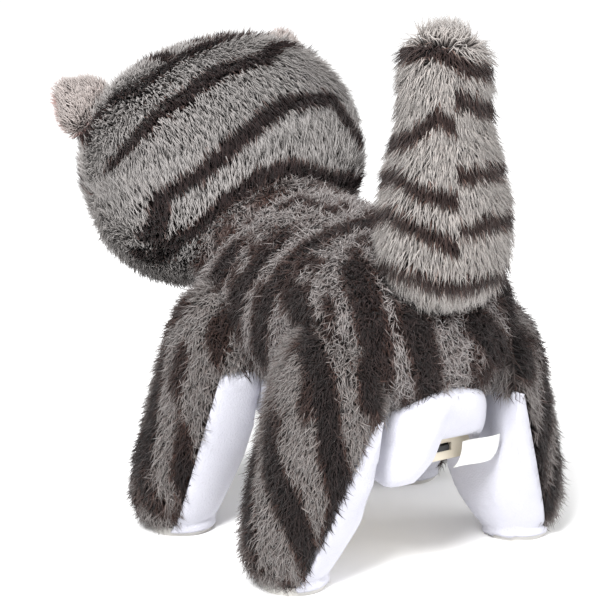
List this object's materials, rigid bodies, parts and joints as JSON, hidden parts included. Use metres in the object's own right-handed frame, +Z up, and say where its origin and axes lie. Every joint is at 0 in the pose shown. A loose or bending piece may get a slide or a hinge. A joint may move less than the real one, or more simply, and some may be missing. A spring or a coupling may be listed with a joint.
{
  "type": "walking plush kitten",
  "caption": "Battery-driven plush kitten with a nodding head, wagging tail and swinging legs over a geared plastic chassis.",
  "frame": {"origin": "centre of the bounding box in plan, on the floor under the soles", "axes": "+Z up, the face looks along -Y, +X is the kitten's left side"},
  "size_m": [0.134, 0.2156, 0.198],
  "materials": {
    "striped_fur": "brushed grey-brown faux fur with dark bands",
    "head_fur": "long light grey faux fur with dark stripes",
    "tail_fur": "long warm grey faux fur with dark rings",
    "white_plush": "short white plush",
    "wadding": "polyester fibre",
    "label_ribbon": "woven ribbon, blank",
    "white_plastic": "moulded",
    "cream_plastic": "moulded, slightly translucent look",
    "black_plastic": "moulded",
    "eye_plastic": "polished",
    "nose_plastic": "satin",
    "steel": "plated",
    "cell_sleeve": "printed sleeve without marks",
    "brass": "machined",
    "board": "solder mask",
    "sole_rubber": "moulded"
  },
  "bodies": {
    "chassis": {"body_cover": "striped_fur", "body_wadding": "wadding", "belly_panel": "white_plush", "care_label": "label_ribbon", "tail_bracket": "white_plastic", "chassis_base": "white_plastic", "chassis_lid": "white_plastic", "chassis_screws": "steel", "neck_post": "white_plastic", "battery_box": "cream_plastic", "battery_cells": "cell_sleeve", "battery_contacts": "steel", "switch_body": "black_plastic", "motor": "steel", "gear_axles": "steel", "circuit_board": "board", "speaker": "black_plastic", "lever_retainers": "steel"},
    "neck": {"neck_swivel": "white_plastic"},
    "head": {"head_cover": "head_fur", "head_wadding": "wadding", "neck_cover": "striped_fur", "head_shell": "white_plastic", "muzzle": "white_plush", "nose": "nose_plastic", "eyes": "eye_plastic", "left_ear": "head_fur", "right_ear": "head_fur"},
    "tail": {"tail_cover": "tail_fur", "tail_wadding": "wadding", "tail_rod": "white_plastic"},
    "battery_door": {"battery_door": "cream_plastic", "door_screw": "steel"},
    "switch": {"switch_knob": "black_plastic"},
    "motor_pinion": {"motor_pinion": "brass"},
    "first_gear": {"first_gear": "white_plastic"},
    "second_gear": {"second_gear": "white_plastic"},
    "crank": {"crank_shaft": "steel", "crank_gear": "white_plastic", "crank_discs": "white_plastic"},
    "front_left_leg": {"front_left_lever": "white_plastic", "front_left_cover": "striped_fur", "front_left_lining": "white_plush", "front_left_sole": "sole_rubber"},
    "front_right_leg": {"front_right_lever": "white_plastic", "front_right_cover": "striped_fur", "front_right_lining": "white_plush", "front_right_sole": "sole_rubber"},
    "rear_left_leg": {"rear_left_lever": "white_plastic", "rear_left_cover": "striped_fur", "rear_left_lining": "white_plush", "rear_left_sole": "sole_rubber"},
    "rear_right_leg": {"rear_right_lever": "white_plastic", "rear_right_cover": "striped_fur", "rear_right_lining": "white_plush", "rear_right_sole": "sole_rubber"},
    "left_tie_rod": {"left_tie_rod": "white_plastic"},
    "right_tie_rod": {"right_tie_rod": "white_plastic"}
  },
  "joints": [
    {"name": "head_turn", "type": "hinge", "parent": "chassis", "child": "neck", "pos_m": [0, -0.059, 0.122], "axis": [0, 0.8, -0.6], "range_deg": [-28, 16]},
    {"name": "head_nod", "type": "hinge", "parent": "neck", "child": "head", "pos_m": [0, -0.059, 0.122], "axis": [0.9703, -0.1452, -0.1935], "range_deg": [-8, 8]},
    {"name": "tail_wag", "type": "hinge", "parent": "chassis", "child": "tail", "pos_m": [0, 0.085, 0.11947], "axis": [0, 1, 0], "range_deg": [-15, 15]},
    {"name": "rear_left_swing", "type": "hinge", "parent": "chassis", "child": "rear_left_leg", "pos_m": [0.028, 0.065, 0.067], "axis": [1, 0, 0], "range_deg": [-12, 12]},
    {"name": "front_left_swing", "type": "hinge", "parent": "chassis", "child": "front_left_leg", "pos_m": [0.032, -0.007, 0.067], "axis": [1, 0, 0], "range_deg": [-12, 12]},
    {"name": "rear_right_swing", "type": "hinge", "parent": "chassis", "child": "rear_right_leg", "pos_m": [-0.028, 0.065, 0.067], "axis": [1, 0, 0], "range_deg": [-12, 12]},
    {"name": "front_right_swing", "type": "hinge", "parent": "chassis", "child": "front_right_leg", "pos_m": [-0.032, -0.007, 0.067], "axis": [1, 0, 0], "range_deg": [-12, 12]},
    {"name": "left_tie_rod_pivot", "type": "hinge", "parent": "rear_left_leg", "child": "left_tie_rod", "pos_m": [0.026, 0.065, 0.079], "axis": [1, 0, 0], "range_deg": [-12, 12]},
    {"name": "right_tie_rod_pivot", "type": "hinge", "parent": "rear_right_leg", "child": "right_tie_rod", "pos_m": [-0.026, 0.065, 0.079], "axis": [1, 0, 0], "range_deg": [-12, 12]},
    {"name": "crank_spin", "type": "hinge", "parent": "chassis", "child": "crank", "pos_m": [0, 0.049, 0.0785], "axis": [1, 0, 0], "continuous": true},
    {"name": "second_gear_spin", "type": "hinge", "parent": "chassis", "child": "second_gear", "pos_m": [0, 0.034, 0.0785], "axis": [1, 0, 0], "continuous": true},
    {"name": "first_gear_spin", "type": "hinge", "parent": "chassis", "child": "first_gear", "pos_m": [0, 0.019, 0.0785], "axis": [1, 0, 0], "continuous": true},
    {"name": "motor_spin", "type": "hinge", "parent": "chassis", "child": "motor_pinion", "pos_m": [0, 0.004, 0.0785], "axis": [1, 0, 0], "continuous": true},
    {"name": "battery_door_hinge", "type": "hinge", "parent": "chassis", "child": "battery_door", "pos_m": [0.0168, 0.035, 0.0392], "axis": [0, -1, 0], "range_deg": [0, 60]},
    {"name": "switch_slide", "type": "slide", "parent": "chassis", "child": "switch", "axis": [1, 0, 0], "range_m": [-0.0014, 0.0014]}
  ],
  "couplings": [
    {"joint": "front_left_swing", "follows": "rear_left_swing", "ratio": 1},
    {"joint": "rear_right_swing", "follows": "rear_left_swing", "ratio": -1},
    {"joint": "front_right_swing", "follows": "rear_left_swing", "ratio": -1},
    {"joint": "left_tie_rod_pivot", "follows": "rear_left_swing", "ratio": -1},
    {"joint": "right_tie_rod_pivot", "follows": "rear_left_swing", "ratio": 1},
    {"joint": "second_gear_spin", "follows": "crank_spin", "ratio": -4},
    {"joint": "first_gear_spin", "follows": "crank_spin", "ratio": 16},
    {"joint": "motor_spin", "follows": "crank_spin", "ratio": -64}
  ]
}
